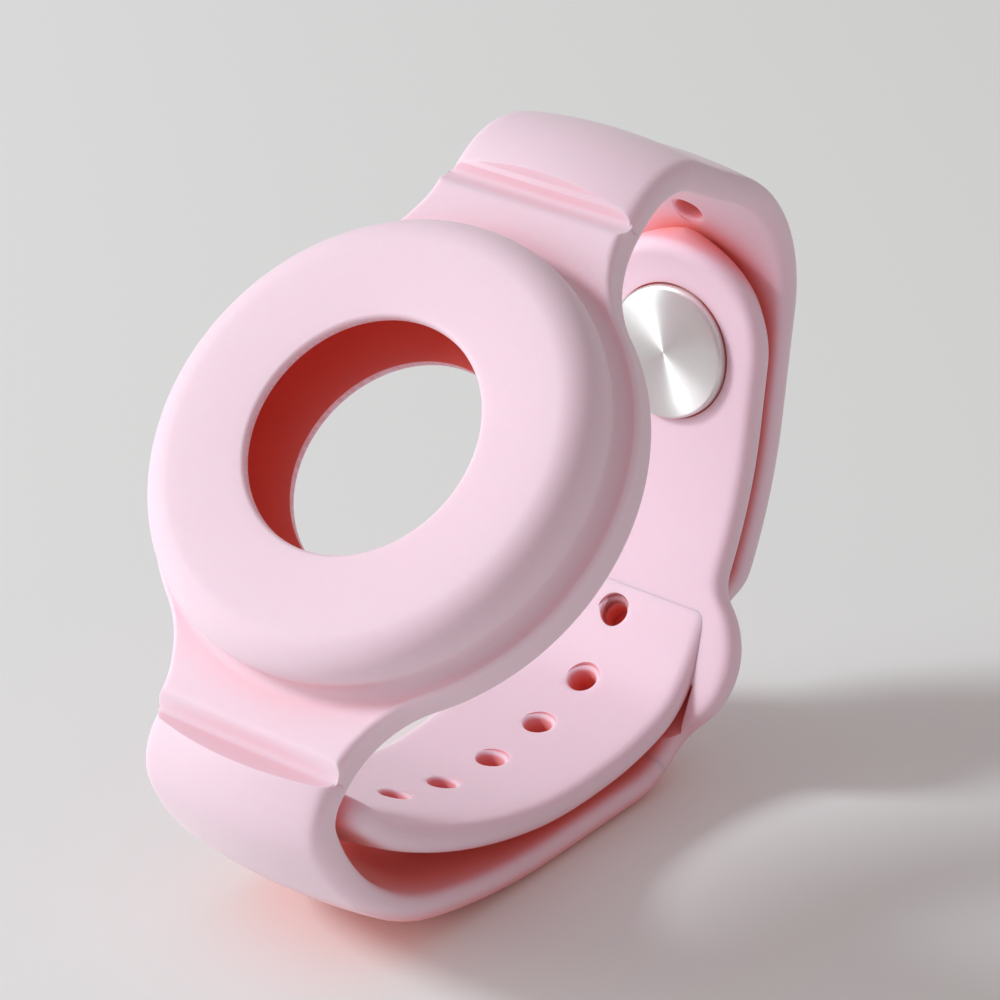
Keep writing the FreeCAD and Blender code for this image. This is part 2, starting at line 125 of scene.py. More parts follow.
# Keeper
KEEPER_BULGE = 3.4
KEEPER_RADIUS = 7.4
KEEPER_FILLET = 3.7
KEEPER_OFFSET = 1.4
SLOT_GAP = 0.35
SLOT_LIP = 1.2
SLOT_SIDE_GAP = 0.25
SLOT_RISE = 2.5
SLOT_RISE_LEAD = 5.8
SLOT_RISE_BEFORE = 4.5
SLOT_RISE_AFTER = 10.5
SLOT_HOLE = 4

# Holes and stud
HOLE_RADIUS = 1.2
HOLE_DISH = 0.4
HOLE_PITCH = 6.43
HOLES_ABOVE = 2
HOLES_BELOW = 10
STUD_SETBACK = 5.0
STUD_RADIUS = 5.8
STUD_HEIGHT = 1.2
STUD_SINK = 0.4
STUD_SEAT_GAP = 0.15
POST_RADIUS = 1.4
HEAD_RADIUS = 1.9
HEAD_HEIGHT = 1.4
FLAP_TIP = 9.8

# Edge roundings of the straps, towards the wrist and outside
INNER_ROUNDING = 1.1
OUTER_ROUNDING = 1.0

# Fineness of the meshes
RING_STEP = 0.5
POINTS_ACROSS = 33
CROSSING_PIN_STEPS = 300
CROSSING_HOLE_STEPS = 400
PLATE_ARC_POINTS = 44
FLARE_POINTS = 26
LUG_END_POINTS = 24
DOME_POINTS = 24
ROUNDING_POINTS = 8
SMALL_ROUNDING_POINTS = 6
TIP_STEP_DEG = 6
SLOT_RINGS = 90
KEEPER_RINGS = 60
GROOVE_POINTS = 14
DISC_SIDES = 128
SEAT_SIDES = 96
HEAD_SIDES = 48
HOLE_SIDES = 32

# Creases over these angles stay sharp, and points closer than the seam, in metres, are merged.
SOFT_CREASE_DEG = 42
METAL_CREASE_DEG = 35
SEAM = 2e-6

# Silicone colours, and the open share of the surroundings at which each is reached. Pale pink is the
# silicone's own colour; the shaded pink and the red are painted shade, put into the base colour where
# ambient occlusion finds nearby surfaces, standing in for shade and for light coming through the silicone
# into recesses and gaps.
PALE_PINK = (0.90, 0.675, 0.77, 1)
SHADED_PINK = (0.86, 0.45, 0.52, 1)
PAINTED_SHADE_RED = (0.97, 0.20, 0.155, 1)
PALE_OPEN_SHARE = 0.82
SHADED_OPEN_SHARE = 0.56
PAINTED_SHADE_RED_OPEN_SHARE = 0.12
# Painted shade on the tag pocket's walls: their open share is lowered by this much.
POCKET_SHADE_SHARE = 0.35


def along(heading):
    angle = math.radians(heading)
    return np.array([math.cos(angle), math.sin(angle)])


def left_of(heading):
    return along(heading + 90)


class Path:
    """Wrist face line of a strap: straight runs and tangent bends."""

    def __init__(self, start, heading):
        self.end = np.array(start, float)
        self.heading = heading
        self.length = 0.0
        self.stretches = []

    def run(self, length):
        self.stretches.append((self.length, length, self.end, self.heading, None, 0.0))
        self.end = self.end + along(self.heading) * length
        self.length += length
        return self

    def bend(self, radius, turn):
        length = radius * math.radians(abs(turn))
        centre = self.end + left_of(self.heading) * math.copysign(radius, turn)
        self.stretches.append((self.length, length, self.end, self.heading, centre, turn))
        self.end = centre - left_of(self.heading + turn) * math.copysign(radius, turn)
        self.heading += turn
        self.length += length
        return self

    def at(self, distance):
        reached = [s for s in self.stretches if distance <= s[0] + s[1]] or self.stretches[-1:]
        start, length, point, heading, centre, turn = reached[0]
        inside = distance - start
        if centre is None:
            return point + along(heading) * inside, heading
        turned = heading + turn * inside / length
        radius = np.linalg.norm(point - centre)
        return centre - left_of(turned) * math.copysign(radius, turn), turned


def meeting(point_a, heading_a, point_b, heading_b):
    """Distance along the first straight line to the point where a second one crosses it."""
    gap = point_b - point_a
    a, b = along(heading_a), along(heading_b)
    return (gap[0] * b[1] - gap[1] * b[0]) / (a[0] * b[1] - a[1] * b[0])


def hole_start(back_run):
    path = Path((LUG_Y, 0.0), 0.0).run(HOLE_LEAD)
    path.bend(HOLE_SHOULDER[0], -HOLE_SHOULDER[1]).run(back_run).bend(CORNER[0], -CORNER[1])
    stud_run = path.length
    return path.run(STUD_RUN).bend(CLOSING[0], -CLOSING[1]), stud_run


def strap_paths():
    """Wrist face lines of both straps and the distances that matter along them."""
    pin = Path((-LUG_Y, 0.0), 180.0).run(PIN_LEAD).bend(*PIN_SHOULDER).bend(*BELLY).bend(*SOLE)

    def flap_lane(hole):
        return hole.end - left_of(hole.heading) * LAYER_STEP

    trials = []
    for trial in (0.0, CORNER[0]):
        hole = hole_start(trial)[0]
        turn = hole.heading + 180.0 - (pin.heading - 360.0)
        half_turn = math.tan(math.radians(turn / 2))
        corner = meeting(pin.end, pin.heading, flap_lane(hole), hole.heading)
        trials.append(corner - PIN_BEND_RADIUS * half_turn)
    back_run = CORNER[0] * (SOLE_RUN - trials[0]) / (trials[1] - trials[0])
    hole, stud_run = hole_start(back_run)
    lane = flap_lane(hole)
    tail_lane = pin.end + left_of(pin.heading) * (THICKNESS + TAIL_GAP)
    marks = {"stud": stud_run + STUD_SETBACK, "sole": pin.length}
    corner = meeting(hole.end, hole.heading, tail_lane, pin.heading)
    hole.run(corner - TAIL_BEND_RADIUS * half_turn)
    marks["tail_bend"] = hole.length
    hole.bend(TAIL_BEND_RADIUS, -turn)
    marks["tail_sweep"] = hole.length
    hole.bend(TAIL_SWEEP[0], -TAIL_SWEEP[1])
    hole.run((-TAIL_TIP_GAP - hole.end[1]) / along(hole.heading)[1])
    marks["tail_flex"] = hole.length - TAIL_FLEX
    pin.run(SOLE_RUN).bend(PIN_BEND_RADIUS, turn)
    marks["flap_run"] = pin.length
    pin.run(float((lane - pin.end) @ along(pin.heading))).bend(CLOSING[0] - LAYER_STEP, CLOSING[1])
    marks["flap_stud"] = pin.length + STUD_SETBACK
    tip_radius = CORNER[0] - LAYER_STEP
    pin.run(STUD_RUN).bend(tip_radius, math.degrees((FLAP_TIP - STUD_SETBACK) / tip_radius))
    return pin, hole, marks


def crossing(pin, hole, marks):
    """Distances along both straps to the point in the keeper where their lines cross."""
    on_pin = np.linspace(marks["flap_run"], marks["flap_run"] + 2 * THICKNESS, CROSSING_PIN_STEPS)
    on_hole = np.linspace(marks["tail_bend"], marks["tail_sweep"], CROSSING_HOLE_STEPS)
    pin_points = np.array([pin.at(d)[0] for d in on_pin])
    hole_points = np.array([hole.at(d)[0] for d in on_hole])
    gaps = np.linalg.norm(pin_points[:, None] - hole_points[None], axis=2)
    i, k = np.unravel_index(np.argmin(gaps), gaps.shape)
    return on_pin[i], on_hole[k]


pin, hole, marks = strap_paths()
ON_PIN, ON_HOLE = crossing(pin, hole, marks)
KEEPER_SUM = KEEPER_RADIUS + KEEPER_FILLET
KEEPER_REACH = math.sqrt(KEEPER_BULGE * (2 * KEEPER_SUM - KEEPER_BULGE))
KEEPER_MIDDLE = ON_PIN + KEEPER_OFFSET
KEEPER_END = KEEPER_MIDDLE + KEEPER_REACH
TAIL_PARTING = ON_HOLE - SLOT_RISE_LEAD - THICKNESS / 6
SOLE_PARTING = KEEPER_MIDDLE - KEEPER_REACH - THICKNESS / 3

# The loop plane is laid over the frame at the hinges of the flap and the tail.
joints = {joint["name"]: np.array(joint["pos_m"]) for joint in frame["joints"]}
FLAP_HINGE = np.array([0, *pin.at(KEEPER_END)[0]])
TAIL_HINGE = np.array([0, *hole.at(marks["tail_flex"])[0]])
span = (TAIL_HINGE - FLAP_HINGE)[1:]
frame_span = (joints["tail_flex"] - joints["flap_flex"])[1:]
TILT = math.atan2(frame_span[1], frame_span[0]) - math.atan2(span[1], span[0])
ROTATION = np.array(Matrix.Rotation(TILT, 3, "X"))
SHIFT = joints["flap_flex"] * 1000 - ROTATION @ FLAP_HINGE


def world(points):
    """Loop-plane millimetres to the frame in metres."""
    return (np.atleast_2d(points) @ ROTATION.T + SHIFT) / 1000


def spot(pair, x=0.0):
    return Vector(world([x, pair[0], pair[1]])[0])


def direction(pair):
    return Vector(ROTATION @ np.array([0, pair[0], pair[1]]))


# Mesh helpers
def make(name, verts, faces, material=None):
    mesh = bpy.data.meshes.new(name)
    mesh.from_pydata([tuple(v) for v in verts], [], faces)
    mesh.update()
    bm = bmesh.new()
    bm.from_mesh(mesh)
    bmesh.ops.recalc_face_normals(bm, faces=bm.faces)
    bm.to_mesh(mesh)
    bm.free()
    obj = bpy.data.objects.new(name, mesh)
    bpy.context.scene.collection.objects.link(obj)
    if material:
        mesh.materials.append(material)
    return obj


def sharpen(obj, angle):
    """Smooth shading that keeps the creases over an angle."""
    bm = bmesh.new()
    bm.from_mesh(obj.data)
    bmesh.ops.remove_doubles(bm, verts=bm.verts, dist=SEAM)
    bmesh.ops.dissolve_degenerate(bm, edges=bm.edges, dist=SEAM)
    for edge in bm.edges:
        if len(edge.link_faces) == 2:
            edge.smooth = edge.calc_face_angle(0.0) < math.radians(angle)
    bm.to_mesh(obj.data)
    bm.free()
    for polygon in obj.data.polygons:
        polygon.use_smooth = True


def bridge(rings, count, closed=False):
    """Quads between neighbouring rings of the same number of points."""
    pairs = list(zip(range(rings), range(1, rings)))
    if closed:
        pairs.append((rings - 1, 0))
    faces = []
    for a, b in pairs:
        for m in range(count):
            n = (m + 1) % count
            faces.append((a * count + m, a * count + n, b * count + n, b * count + m))
    return faces


def caps(rings, count):
    last = (rings - 1) * count
    return [tuple(range(count)), tuple(range(last, last + count))]


def combine(obj, other, operation):
    """Boolean of two solids, left in the first."""
    modifier = obj.modifiers.new("combine", "BOOLEAN")
    modifier.operation = operation
    modifier.solver = "EXACT"
    modifier.object = other
    bpy.context.view_layer.update()
    graph = bpy.context.evaluated_depsgraph_get()
    mesh = bpy.data.meshes.new_from_object(obj.evaluated_get(graph))
    obj.modifiers.clear()
    obj.data = mesh
    bpy.data.objects.remove(other, do_unlink=True)


def cut(obj, cutter):
    combine(obj, cutter, "DIFFERENCE")


def join(objects, name):
    """One mesh out of several, in the frame."""
    bm = bmesh.new()
    bpy.context.view_layer.update()
    for obj in objects:
        mesh = obj.data.copy()
        mesh.transform(obj.matrix_world)
        bm.from_mesh(mesh)
        bpy.data.objects.remove(obj, do_unlink=True)
    mesh = bpy.data.meshes.new(name)
    bm.to_mesh(mesh)
    bm.free()
    obj = bpy.data.objects.new(name, mesh)
    bpy.context.scene.collection.objects.link(obj)
    return obj


def lathe(name, profile, place, axis, material=None, count=HOLE_SIDES):
    """Solid of revolution with its own Z along an axis; the profile is radius and height in millimetres."""
    verts = []
    for radius, height in profile:
        for m in range(count):
            angle = 2 * math.pi * m / count
            verts.append(np.array([radius * math.cos(angle), radius * math.sin(angle), height]) / 1000)
    faces = bridge(len(profile), count) + caps(len(profile), count)
    obj = make(name, verts, faces, material)
    turn = Vector((0, 0, 1)).rotation_difference(axis).to_matrix().to_4x4()
    obj.matrix_world = Matrix.Translation(place) @ turn
    return obj


def arc_points(centre, radius, first, last, count):
    angles = np.radians(np.linspace(first, last, count))
    return [(centre[0] + radius * math.cos(a), centre[1] + radius * math.sin(a)) for a in angles]


def ease(t):
    t = min(max(t, 0.0), 1.0)
    return t * t * (3 - 2 * t)


# Materials
def noise(nodes, links, place, scale, detail):
    texture = nodes.new("ShaderNodeTexNoise")
    texture.inputs["Scale"].default_value = scale
    texture.inputs["Detail"].default_value = detail
    links.new(place.outputs["Object"], texture.inputs["Vector"])
    return texture.outputs["Fac"]


def silicone():
    """Matte pink silicone with painted shade: its base colour turns to shaded pink and deep red where the
    surroundings are occluded and on the tag pocket's walls, standing in for shade and for light that only
    comes in through the silicone.
    """
    mat = bpy.data.materials.new("silicone")
    mat.use_nodes = True
    nodes, links = mat.node_tree.nodes, mat.node_tree.links
    shader = nodes["Principled BSDF"]
    shader.inputs["Specular IOR Level"].default_value = 0.3
    shader.inputs["Subsurface Weight"].default_value = 0.6
    shader.inputs["Subsurface Radius"].default_value = (1.0, 0.75, 0.7)
    shader.inputs["Subsurface Scale"].default_value = 0.0007
    shader.inputs["Sheen Weight"].default_value = 0.25
    shader.inputs["Sheen Roughness"].default_value = 0.5
    # Painted shade: ambient occlusion drives the base colour, darker and redder in creases, gaps, holes and
    # recesses.
    painted_shade_occlusion = nodes.new("ShaderNodeAmbientOcclusion")
    painted_shade_occlusion.samples = 8
    painted_shade_occlusion.inputs["Distance"].default_value = 0.01
    ramp = nodes.new("ShaderNodeValToRGB")
    deep, pale = ramp.color_ramp.elements
    deep.position = PAINTED_SHADE_RED_OPEN_SHARE
    deep.color = PAINTED_SHADE_RED
    pale.position = PALE_OPEN_SHARE
    pale.color = PALE_PINK
    shaded = ramp.color_ramp.elements.new(SHADED_OPEN_SHARE)
    shaded.color = SHADED_PINK
    # Painted shade: the tag pocket's walls are moved further towards the red end of the ramp.
    pocket_painted_shade = nodes.new("ShaderNodeAttribute")
    pocket_painted_shade.attribute_name = "pocket_painted_shade"
    open_share = nodes.new("ShaderNodeMath")
    open_share.operation = "MULTIPLY_ADD"
    open_share.inputs[1].default_value = -POCKET_SHADE_SHARE
    links.new(pocket_painted_shade.outputs["Fac"], open_share.inputs[0])
    links.new(painted_shade_occlusion.outputs["AO"], open_share.inputs[2])
    links.new(open_share.outputs["Value"], ramp.inputs["Fac"])
    links.new(ramp.outputs["Color"], shader.inputs["Base Color"])
    place = nodes.new("ShaderNodeTexCoord")
    cloud = noise(nodes, links, place, scale=220.0, detail=2.0)
    dull = nodes.new("ShaderNodeMapRange")
    dull.inputs["To Min"].default_value = 0.5
    dull.inputs["To Max"].default_value = 0.62
    links.new(cloud, dull.inputs["Value"])
    links.new(dull.outputs["Result"], shader.inputs["Roughness"])
    grain = nodes.new("ShaderNodeBump")
    grain.inputs["Strength"].default_value = 0.12
    grain.inputs["Distance"].default_value = 0.0001
    links.new(noise(nodes, links, place, scale=5200.0, detail=3.0), grain.inputs["Height"])
    links.new(grain.outputs["Normal"], shader.inputs["Normal"])
    return mat


def turned_metal():
    """Steel with fine turning marks round its own axis."""
    mat = bpy.data.materials.new("turned_metal")
    mat.use_nodes = True
    nodes, links = mat.node_tree.nodes, mat.node_tree.links
    shader = nodes["Principled BSDF"]
    shader.inputs["Base Color"].default_value = (0.80, 0.79, 0.78, 1)
    shader.inputs["Metallic"].default_value = 1.0
    shader.inputs["Roughness"].default_value = 0.36
    shader.inputs["Anisotropic"].default_value = 0.9
    shader.inputs["Anisotropic Rotation"].default_value = 0.2
    tangent = nodes.new("ShaderNodeTangent")
    tangent.direction_type = "RADIAL"
    tangent.axis = "Z"
    links.new(tangent.outputs["Tangent"], shader.inputs["Tangent"])
    return mat


PINK = silicone()
STEEL = turned_metal()


# Holder: one closed skin of rings, round inside and following the plate's outline outside
def plate_outline():
    """Plate outline from +X round: x, y, outward normal, and 1 where a point lies on a lug's end."""
    touch = math.atan2(FLARE_Y, HALF_WIDTH + LUG_FLARE)
    quad = [(PLATE_RADIUS * math.cos(a), PLATE_RADIUS * math.sin(a), math.cos(a), math.sin(a), 0.0)
            for a in np.linspace(0, touch, PLATE_ARC_POINTS)[:-1]]
    centre = (HALF_WIDTH + LUG_FLARE, FLARE_Y)
    for a in np.linspace(touch + math.pi, math.pi, FLARE_POINTS):
        c, s = math.cos(a), math.sin(a)
        quad.append((centre[0] + LUG_FLARE * c, centre[1] + LUG_FLARE * s, -c, -s, 0.0))
    for x in np.linspace(HALF_WIDTH, 0, LUG_END_POINTS):
        quad.append((x, LUG_Y, 0.0, 1.0, 1.0))
    quad = np.array(quad)
    top = np.vstack([quad, quad[:-1][::-1] * np.array([-1, 1, -1, 1, 1])])
    bottom = top[1:-1][::-1] * np.array([1, -1, 1, -1, 1])
    return np.vstack([top, bottom])


def pocket_profile():
    """Radius and height from the back opening round the pocket to the window's lip."""
    lip = LIP_ROUNDING
    low = POCKET_FLOOR + POCKET_ROUNDING
    high = POCKET_CEILING - POCKET_ROUNDING
    wall = POCKET_RADIUS - POCKET_ROUNDING
    middle = (WINDOW_RADIUS + wall) / 2
    points = arc_points((BACK_RADIUS + lip, lip), lip, 270, 180, SMALL_ROUNDING_POINTS)
    points += [(BACK_RADIUS, POCKET_FLOOR), (middle, POCKET_FLOOR)]
    points += arc_points((wall, low), POCKET_ROUNDING, 270, 360, ROUNDING_POINTS)
    points += arc_points((wall, high), POCKET_ROUNDING, 0, 90, ROUNDING_POINTS)
    points += [(middle, POCKET_CEILING), (WINDOW_RADIUS, POCKET_CEILING)]
    window_lip = (WINDOW_RADIUS + lip, HOLDER_TOP - DOME_SLOPE - lip)
    return points + arc_points(window_lip, lip, 180, 95, ROUNDING_POINTS)


def dome_profile():
    """Radius and height from the window's lip over the dome to the fillet at its foot."""
    centre = (DOME_RADIUS - DOME_BULGE, HOLDER_TOP - DOME_BULGE)
    inner = WINDOW_RADIUS + LIP_ROUNDING
    points = []
    for share in np.linspace(0, 1, ROUNDING_POINTS)[1:-1]:
        rise = DOME_SLOPE * math.sin(math.pi / 2 * share)
        points.append((inner + (centre[0] - inner) * share, HOLDER_TOP - DOME_SLOPE + rise))
    rise = centre[1] - PLATE_TOP - DOME_FOOT
    reach = DOME_BULGE + DOME_FOOT
    spread = math.sqrt(reach ** 2 - rise ** 2)
    low = -math.degrees(math.asin(rise / reach))
    points += arc_points(centre, DOME_BULGE, 90, low, DOME_POINTS)
    foot = (centre[0] + spread, PLATE_TOP + DOME_FOOT)
    return points + arc_points(foot, DOME_FOOT, 180 + low, 270, ROUNDING_POINTS + 1)[1:]


def holder():
    edge = plate_outline()
    on_end = edge[:, 4] > 0
    angle = np.arctan2(edge[:, 1], edge[:, 0])
    count = len(edge)

    def circle(radius, height):
        return np.c_[radius * np.cos(angle), radius * np.sin(angle), np.full(count, height)]

    def inset(side, end, side_height, end_height):
        """Outline ring moved inwards, at its own heights along the sides and on the lugs' ends."""
        x = np.where(on_end, edge[:, 0] * (HALF_WIDTH - side) / HALF_WIDTH, edge[:, 0] - side * edge[:, 2])
        y = edge[:, 1] - np.where(on_end, 0.0, side * edge[:, 3])
        near = np.clip((np.abs(y) - (LUG_Y - LUG_EASE)) / LUG_EASE, 0, 1)
        y = y - np.sign(y) * near * end
        into_groove = [ease((abs(v) - LUG_Y + GROOVE_LUG_RUN) / GROOVE_LUG_RUN) for v in y]
        limit = PLATE_TOP - (PLATE_TOP - CREASE) * np.array(into_groove)
        return np.c_[x, y, np.where(on_end, end_height, np.minimum(side_height, limit))]

    def tongue(share, end_height):
        """Ring whose lug ends reach into the straps, out of sight."""
        wall = PLATE_TOP - PLATE_ROUNDING - PLATE_UNDER_ROUNDING
        ring = inset(0.0, 0.0, PLATE_UNDER_ROUNDING + wall * share, end_height)
        ring[on_end, 0] *= 1 - INNER_ROUNDING / HALF_WIDTH
        ring[on_end, 1] += np.sign(ring[on_end, 1]) * TONGUE
        return ring

    rings = [circle(r, z) for r, z in pocket_profile() + dome_profile()]
    foot, rim = rings[-1], inset(PLATE_ROUNDING, GROOVE_LUG_RUN, PLATE_TOP, PLATE_TOP)
    rings += [foot * (1 - t) + rim * t for t in (0.3, 0.65, 0.9)]
    for a in np.linspace(0, math.pi / 2, ROUNDING_POINTS):
        share = 2 * a / math.pi
        rings.append(inset(PLATE_ROUNDING * (1 - math.sin(a)), GROOVE_LUG_RUN * (1 - share),
                           PLATE_TOP - PLATE_ROUNDING * (1 - math.cos(a)),
                           PLATE_TOP + (CREASE - PLATE_TOP) * ease(share)))
    rings += [tongue(2 / 3, CREASE - TONGUE_GAP), tongue(1 / 3, TONGUE_GAP)]
    for a in np.linspace(0, math.pi / 2, ROUNDING_POINTS - 1):
        height = PLATE_UNDER_ROUNDING * (1 - math.sin(a))
        rings.append(inset(PLATE_UNDER_ROUNDING * (1 - math.cos(a)), 0.0, height, height))
    rings += [rings[-1] * (1 - t) + rings[0] * t for t in (0.35, 0.7)]
    return make("band_skin", world(np.vstack(rings)), bridge(len(rings), count, True), PINK)


def mark_pocket_painted_shade(obj):
    """Marks the walls of the tag pocket, which little light reaches, for painted shade in the silicone's
    base colour.
    """
    inside = obj.data.attributes.new("pocket_painted_shade", "FLOAT", "POINT")
    for vertex in obj.data.vertices:
        x, y, z = (np.array(vertex.co) * 1000 - SHIFT) @ ROTATION
        radius = math.hypot(x, y)
        in_wall = BACK_RADIUS - LIP_ROUNDING < radius < POCKET_RADIUS + LIP_ROUNDING
        if in_wall and LIP_ROUNDING < z < HOLDER_TOP - LIP_ROUNDING - DOME_SLOPE:
            inside.data[vertex.index].value = 1.0


# Straps: a ring of points swept along a path
def end_depth(x, distance, end, corner):
    """Distance from a point of a strap to its outline, which has a free end with rounded corners."""
    side = abs(x) - (HALF_WIDTH - corner)
    past = distance - (end - corner)
    return corner - math.hypot(max(side, 0.0), max(past, 0.0)) - min(max(side, past), 0.0)


def section(half, edge, crown, depth):
    """Closed ring across a strap: x and height above the wrist face, rounded towards its outline."""
    across = half * np.sin(np.linspace(-math.pi / 2, math.pi / 2, POINTS_ACROSS))
    inwards = np.array([max(depth(x), 0.0) for x in across])

    def rounding(radius):
        missing = np.clip(radius - inwards, 0, radius)
        return radius - np.sqrt(radius ** 2 - missing ** 2)

    above = edge + crown * (1 - (across / half) ** 2) - rounding(OUTER_ROUNDING)
    return np.vstack([np.c_[across, rounding(INNER_ROUNDING)], np.c_[across, above][::-1]])


def sweep(name, path, outside, distances, shape, corner=None, lean=None):
    """Skin of a strap; shape gives half width, edge and crown, lean a drop and a roll at a distance."""
    rings = []
    for distance in distances:
        point, heading = path.at(distance)
        outward = left_of(heading) * outside
        half, edge, crown = shape(distance)

        def depth(x):
            if corner and half <= HALF_WIDTH:
                return end_depth(x, distance, path.length, corner)
            return half - abs(x)

        ring = section(half, edge, crown, depth)
        # A ring before the strap's start is a tongue inside the lug.
        if distance < 0:
            ring = ring * (1 - OUTER_ROUNDING / HALF_WIDTH, 1 - 2 * TONGUE_GAP / THICKNESS) + (0, TONGUE_GAP)
        height = ring[:, 1]
        if lean:
            drop, roll = lean(distance)
            height = height + drop - ring[:, 0] * math.tan(roll)
        rings.append(np.c_[ring[:, 0], point[0] + outward[0] * height, point[1] + outward[1] * height])
    count = len(rings[0])
    faces = bridge(len(rings), count) + caps(len(rings), count)
    points = world(np.vstack(rings))
    # The strap is flat where it stands on the table.
    points[:, 2] = np.maximum(points[:, 2], 0)
    return make(name, points, faces, PINK)


def strap_shape(distance):
    """Half width, edge and crown of a plain strap, thicker beside its lug."""
    near = 1 - ease(distance / LUG_FADE)
    return HALF_WIDTH, EDGE + LUG_RISE * near, CROWN + LUG_CROWN * near


def tip_half(distance, end, radius):
    """Half width near a free end with rounded corners."""
    past = distance - (end - radius)
    if past <= 0:
        return HALF_WIDTH
    return HALF_WIDTH - radius + math.sqrt(max(radius ** 2 - past ** 2, 0.0))


def spaced(first, last, dense=()):
    """Even distances along a strap, with more of them where a shape needs it."""
    even = list(np.linspace(first, last, int((last - first) / RING_STEP)))
    return sorted(set(round(m, 4) for m in even + list(dense) if first <= m <= last))


def tip_marks(end, radius):
    """Distances that draw a free end's rounded corners."""
    angles = np.radians(np.arange(0, 90, TIP_STEP_DEG))
    return [end - radius + radius * math.sin(a) for a in angles] + [end - radius / 2000]


def keeper_half(distance):
    """Half width of the pin strap, swelling smoothly round the keeper's slot."""
    past = abs(distance - KEEPER_MIDDLE)
    if past >= KEEPER_REACH:
        return HALF_WIDTH
    if past <= KEEPER_REACH * KEEPER_RADIUS / KEEPER_SUM:
        return HALF_WIDTH + KEEPER_BULGE - KEEPER_RADIUS + math.sqrt(KEEPER_RADIUS ** 2 - past ** 2)
    return HALF_WIDTH + KEEPER_FILLET - math.sqrt(KEEPER_FILLET ** 2 - (KEEPER_REACH - past) ** 2)


def groove(obj, end):
    """Slanted wall that a strap rises from at its lug."""
    side = math.copysign(1, end)
    rise = THICKNESS + LUG_RISE + LUG_CROWN - CREASE
    near = end - side * 2 * TONGUE
    outline = [(near, CREASE + 4 * rise), (near, CREASE)]
    for share in np.linspace(0, 2, GROOVE_POINTS):
        climb = math.hypot(share, GROOVE_SOFTNESS_SHARE) - GROOVE_SOFTNESS_SHARE
        outline.append((end + side * GROOVE_STRAP_RUN * share, CREASE + rise * climb))
    outline.append((outline[-1][0], CREASE + 4 * rise))
    reach = 2 * HALF_WIDTH
    verts = [(x, y, z) for x in (-reach, reach) for y, z in outline]
    count = len(outline)
    cut(obj, make("groove", world(np.array(verts)), bridge(2, count) + caps(2, count)))


def slot_rise(distance):
    """How far the hole strap is pulled up towards the wrist in the keeper's slot."""
    past = distance - ON_HOLE + SLOT_RISE_LEAD
    run = SLOT_RISE_AFTER if past > 0 else SLOT_RISE_BEFORE
    return SLOT_RISE * ease(1 - abs(past) / run)


def slot_cutter():
    """The hole strap with room round it, to open the keeper's slot; the slot's lip lies on the strap."""
    side = HALF_WIDTH + SLOT_SIDE_GAP
    rings = []
    distances = np.linspace(marks["tail_bend"] - THICKNESS, marks["tail_sweep"] + THICKNESS, SLOT_RINGS)
    for distance in distances:
        point, heading = hole.at(distance)
        outward = left_of(heading)
        point = point - outward * slot_rise(distance)
        for x, height in ((-side, SLOT_LIP), (side, SLOT_LIP),
                          (side, THICKNESS + SLOT_GAP), (-side, THICKNESS + SLOT_GAP)):
            rings.append((x, *(point + outward * height)))
    return make("slot", world(np.array(rings)), bridge(len(distances), 4) + caps(len(distances), 4))


def pin_shape(distance):
    half = keeper_half(distance)
    if distance > marks["flap_stud"] - STUD_SETBACK:
        half = tip_half(distance, pin.length, HALF_WIDTH)
    return half, *strap_shape(distance)[1:]


def flap_skin():
    """Pin strap from the keeper's lower end to the flap's tip."""
    dense = list(np.linspace(KEEPER_MIDDLE - KEEPER_REACH, KEEPER_END, KEEPER_RINGS))
    dense += tip_marks(pin.length, HALF_WIDTH)
    distances = spaced(SOLE_PARTING, pin.length, dense)[:-1]
    obj = sweep("flap_skin", pin, -1, distances, pin_shape, HALF_WIDTH)
    cut(obj, slot_cutter())
    # The hole that lies at the slot's lip stays open.
    cut(obj, hole_cutter(SLOT_HOLE, THICKNESS))
    point, heading = pin.at(marks["flap_stud"])
    outward = -left_of(heading)
    seat_radius = STUD_RADIUS + STUD_SEAT_GAP
    seat = [(seat_radius, -THICKNESS), (seat_radius, STUD_SINK)]
    post = [(POST_RADIUS, 0.0), (POST_RADIUS, 2 * THICKNESS)]
    for profile in (seat, post):
        cut(obj, lathe("cutter", profile, spot(point), direction(outward), count=SEAT_SIDES))
    sharpen(obj, SOFT_CREASE_DEG)
    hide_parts("keeper", "pin_flap")
    first, last = (pin.at(KEEPER_END + d)[0] for d in (-THICKNESS / 3, 2 * THICKNESS))
    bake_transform(obj)


def tail_lean(distance):
    """Past the slot, the loose tail settles a little and leans to one side."""
    share = ease((distance - ON_HOLE - 2 * THICKNESS) / TAIL_SETTLE)
    share *= ease((hole.length - distance) / TAIL_TIP_RISE_RUN)
    return TAIL_DROP * share - slot_rise(distance), math.radians(TAIL_ROLL_DEG) * share


def hole_cutter(k, length):
    """Round cutter with a flared mouth for one hole of the row, counted from the stud's plain one."""
    distance = marks["stud"] + k * HOLE_PITCH
    point, heading = hole.at(distance)
    outward = left_of(heading)
    mouth = HOLE_RADIUS + HOLE_DISH
    profile = [(mouth, -THICKNESS), (mouth, 0.0)]
    profile += [(HOLE_RADIUS + HOLE_DISH * (1 - math.sin(a)), HOLE_DISH * (1 - math.cos(a)))
                for a in np.linspace(0, math.pi / 2, SMALL_ROUNDING_POINTS)[1:]]
    profile.append((HOLE_RADIUS, length))
    if k == 0:
        profile = [(HEAD_RADIUS, -THICKNESS), (HEAD_RADIUS, length)]
    place = point + outward * tail_lean(distance)[0]
    return lathe("cutter", profile, spot(place), direction(outward), count=HOLE_SIDES)


def hole_cutters():
    return join([hole_cutter(k, 2 * THICKNESS) for k in range(-HOLES_ABOVE, HOLES_BELOW)], "holes")


